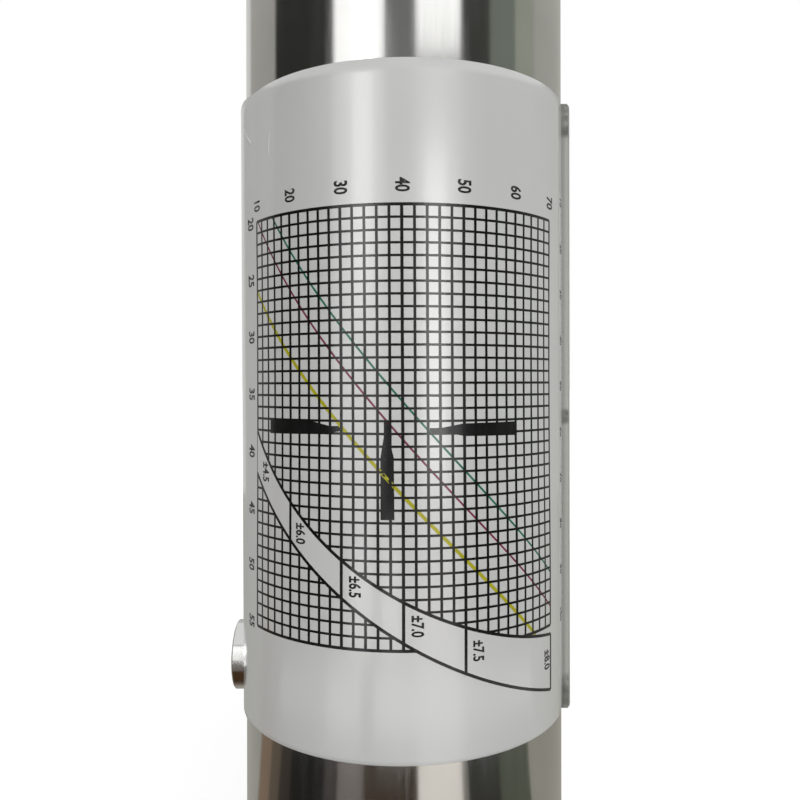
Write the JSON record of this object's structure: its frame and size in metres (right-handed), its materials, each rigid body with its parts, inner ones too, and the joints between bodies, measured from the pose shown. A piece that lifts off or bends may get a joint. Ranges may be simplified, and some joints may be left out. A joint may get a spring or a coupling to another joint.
{
  "type": "rebound hammer",
  "caption": "Round metal rebound hammer with a printed chart sheet, a clear scale strip, a side push button, a front plunger and a sprung hammer mass with pawl and rider inside.",
  "frame": {"origin": "on the tube's axis at the flat rear face, on which the hammer stands", "axes": "+Z along the tube towards the plunger; +X towards the scale window; -X towards the push button; -Y faces the chart"},
  "size_m": [0.0573, 0.055, 0.281],
  "materials": {
    "tube_metal": "bare metal tube, fine turned satin with long soft reflections",
    "cap_metal": "turned metal, satin",
    "cover_metal": "turned metal, satin",
    "plunger_steel": "hardened and ground steel",
    "mass_steel": "turned steel",
    "mechanism_steel": "turned and milled steel",
    "fastener_steel": "dark steel screws and nuts",
    "spring_steel": "spring wire",
    "felt": "pressed felt",
    "label_sheet": "white printed plastic sheet, satin gloss",
    "window_clear": "clear acrylic",
    "rider_black": "black, with one pale index line",
    "rider_leaf_steel": "thin spring sheet",
    "button_metal": "polished bare metal"
  },
  "bodies": {
    "housing": {"housing_tube": "tube_metal", "front_cap": "cap_metal", "ring_half_left": "mechanism_steel", "ring_half_right": "mechanism_steel", "felt_washer": "felt", "guide_sleeve": "cap_metal", "impact_spring": "spring_steel", "return_spring": "spring_steel", "rear_cover": "cover_metal", "trip_screw": "fastener_steel", "lock_nut": "fastener_steel", "chart_label": "label_sheet", "scale_window": "window_clear", "window_screws": "fastener_steel", "rider_rod": "mechanism_steel", "button_bush": "button_metal", "button_spring": "spring_steel"},
    "core": {"guide_bar": "mechanism_steel", "guide_disk": "mechanism_steel", "bar_nut": "fastener_steel", "pawl_pin": "mechanism_steel", "pawl_spring": "spring_steel", "retaining_spring": "spring_steel"},
    "trip_pawl": {"pawl": "mechanism_steel"},
    "nose": {"plunger": "plunger_steel"},
    "hammer": {"hammer_mass": "mass_steel", "spring_retainer": "mechanism_steel"},
    "rider": {"rider_block": "rider_black", "rider_leaf": "rider_leaf_steel"},
    "button": {"button_head": "button_metal", "button_stem": "mechanism_steel", "button_clip": "spring_steel"}
  },
  "joints": [
    {"name": "core_slide", "type": "slide", "parent": "housing", "child": "core", "axis": [0, 0, -1], "range_m": [-0.075, 0], "deforming": ["return_spring"]},
    {"name": "buffer_slide", "type": "slide", "parent": "core", "child": "nose", "axis": [0, 0, -1], "range_m": [0, 0.0025], "stiffness_N_per_m": 2000, "springref_m": -0.001, "deforming": ["retaining_spring"]},
    {"name": "pawl_hinge", "type": "hinge", "parent": "core", "child": "trip_pawl", "pos_m": [0, 0.015, 0.04285], "axis": [-1, 0, 0], "range_deg": [0, 12], "stiffness_Nm_per_rad": 0.02, "springref_deg": -17.19, "deforming": ["pawl_spring"]},
    {"name": "mass_slide", "type": "slide", "parent": "housing", "child": "hammer", "axis": [0, 0, -1], "range_m": [0, 0.075], "stiffness_N_per_m": 785, "deforming": ["impact_spring"]},
    {"name": "rider_slide", "type": "slide", "parent": "housing", "child": "rider", "axis": [0, 0, -1], "range_m": [0, 0.075]},
    {"name": "button_slide", "type": "slide", "parent": "housing", "child": "button", "axis": [1, 0, 0], "range_m": [0, 0.002], "stiffness_N_per_m": 700, "springref_m": -0.002, "deforming": ["button_spring"]}
  ],
  "couplings": [
    {"joint": "rider_slide", "follows": "mass_slide", "ratio": 1}
  ]
}
